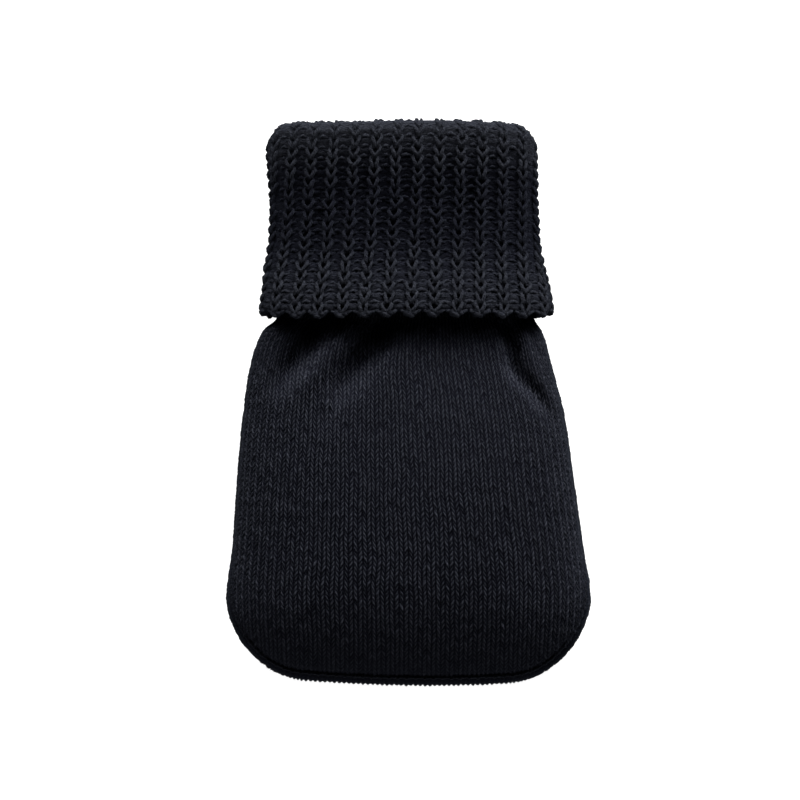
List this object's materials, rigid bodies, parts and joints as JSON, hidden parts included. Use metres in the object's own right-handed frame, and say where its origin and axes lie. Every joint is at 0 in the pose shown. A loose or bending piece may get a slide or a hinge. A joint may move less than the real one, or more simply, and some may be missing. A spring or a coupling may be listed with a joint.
{
  "type": "knitted hand warmer cover",
  "caption": "Soft knitted cover for a pocket hand warmer: a flat stockinette pouch with a turned-down ribbed collar that closes its neck.",
  "frame": {"origin": "middle of the bounding box, on the surface that the cover lies on", "axes": "+X to the right of the face, +Y up the cover towards its mouth, +Z out of the face"},
  "size_m": [0.095, 0.1474, 0.0246],
  "materials": {
    "stockinette": "matt black acrylic yarn in fine stockinette",
    "rib_knit": "matt black acrylic yarn in one by one rib"
  },
  "bodies": {
    "root": {"front_panel": "stockinette", "back_panel": "stockinette", "collar": "rib_knit"}
  },
  "joints": []
}
